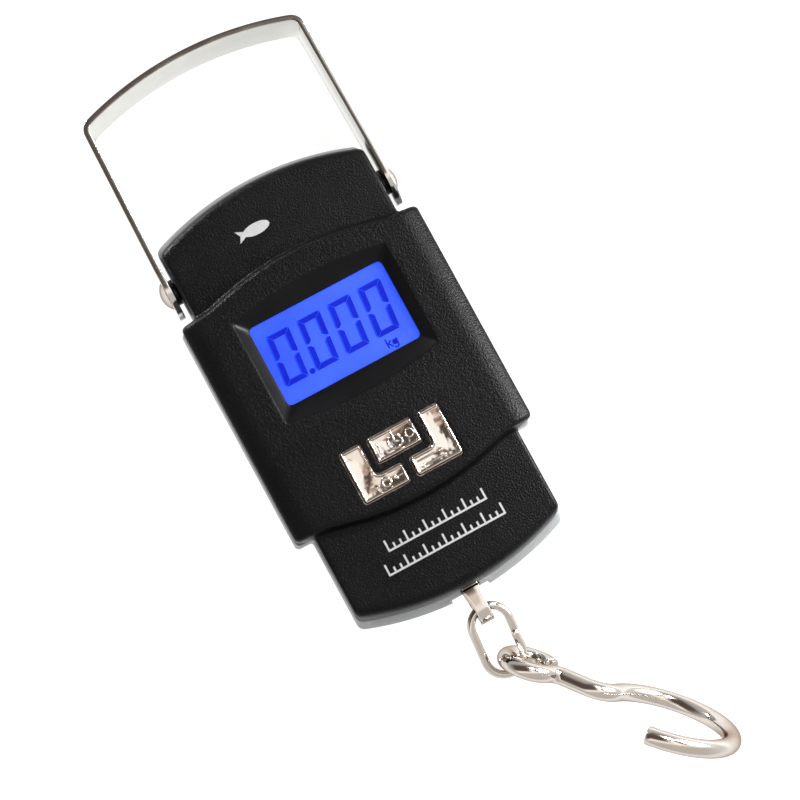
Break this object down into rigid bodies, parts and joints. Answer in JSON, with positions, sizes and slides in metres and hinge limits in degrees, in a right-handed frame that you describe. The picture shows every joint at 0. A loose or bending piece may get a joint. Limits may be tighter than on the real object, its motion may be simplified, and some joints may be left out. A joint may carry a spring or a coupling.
{
  "type": "digital fish scale",
  "caption": "Hand-held hanging scale: moulded body with display and push buttons, swinging steel bail above, stem, oval link and wire hook below.",
  "frame": {"origin": "on the flat back face, at the middle of the raised section", "axes": "+Z out through the display, +Y along the body towards the bail, +X to the right as the display is read; the hook end is -Y"},
  "size_m": [0.0736, 0.2165, 0.0402],
  "materials": {
    "black_abs": "fine spark texture",
    "silver_abs": "satin",
    "clear_window": "polished",
    "lcd_blue": "polished",
    "white_plastic": "satin",
    "clear_light_guide": "polished",
    "led_body": "gloss",
    "elastomer": "matt",
    "board_green": "solder mask",
    "black_epoxy": "gloss",
    "part_tan": "satin",
    "switch_black": "matt",
    "bright_plating": "polished",
    "plunger_natural": "satin",
    "cell_aluminium": "milled",
    "gauge_foil": "satin",
    "sealant_white": "satin",
    "steel": "satin",
    "polished_steel": "polished",
    "black_nylon": "satin",
    "black_steel": "blackened",
    "cell_jacket": "printed jacket",
    "spring_steel": "bright",
    "contact_nickel": "nickel",
    "wire_red": "satin",
    "wire_grey": "satin"
  },
  "bodies": {
    "body": {"front_shell": "black_abs", "back_shell": "silver_abs", "display_window": "clear_window", "lcd_glass": "lcd_blue", "lcd_frame": "white_plastic", "backlight_panel": "clear_light_guide", "backlight_leds": "led_body", "zebra_strips": "elastomer", "circuit_board": "board_green", "controller_chip": "black_epoxy", "board_components": "part_tan", "switch_bodies": "switch_black", "load_cell": "cell_aluminium", "strain_gauges": "gauge_foil", "gauge_sealant": "sealant_white", "hanger_bracket": "steel", "bracket_bolt": "steel", "hook_stem": "polished_steel", "stem_nut": "steel", "bail_rivets": "polished_steel", "pivot_bushes": "black_nylon", "rivet_washers": "steel", "shell_screws": "black_steel", "board_screws": "steel", "battery_cells": "cell_jacket", "battery_springs": "spring_steel", "battery_contacts": "contact_nickel", "load_cell_wires": "wire_grey", "battery_wires": "wire_red"},
    "bail": {"bail": "polished_steel"},
    "power_key": {"power_button": "bright_plating", "power_plunger": "plunger_natural"},
    "tare_key": {"tare_button": "bright_plating", "tare_plunger": "plunger_natural"},
    "unit_key": {"unit_button": "bright_plating", "unit_plunger": "plunger_natural"},
    "door": {"battery_door": "silver_abs"},
    "link": {"chain_link": "polished_steel"},
    "hook": {"hook": "polished_steel"}
  },
  "joints": [
    {"name": "bail_swing", "type": "hinge", "parent": "body", "child": "bail", "pos_m": [0, 0.0405, 0.0105], "axis": [1, 0, 0], "range_deg": [-95, 95]},
    {"name": "power_press", "type": "slide", "parent": "body", "child": "power_key", "axis": [0, 0, -1], "range_m": [0, 0.0004], "stiffness_N_per_m": 1000},
    {"name": "tare_press", "type": "slide", "parent": "body", "child": "tare_key", "axis": [0, 0, -1], "range_m": [0, 0.0004], "stiffness_N_per_m": 1000},
    {"name": "unit_press", "type": "slide", "parent": "body", "child": "unit_key", "axis": [0, 0, -1], "range_m": [0, 0.0004], "stiffness_N_per_m": 1000},
    {"name": "door_lift", "type": "slide", "parent": "body", "child": "door", "axis": [0, 0, -1], "range_m": [0, 0.03]},
    {"name": "link_swing", "type": "hinge", "parent": "body", "child": "link", "pos_m": [0.0006, -0.0651, 0.0105], "axis": [0.9976, -0.0698, 0], "range_deg": [-75, 75]},
    {"name": "hook_swing", "type": "hinge", "parent": "link", "child": "hook", "pos_m": [0.0031, -0.0815, 0.007], "axis": [-0.657, -0.6892, -0.3057], "range_deg": [-60, 50]}
  ]
}
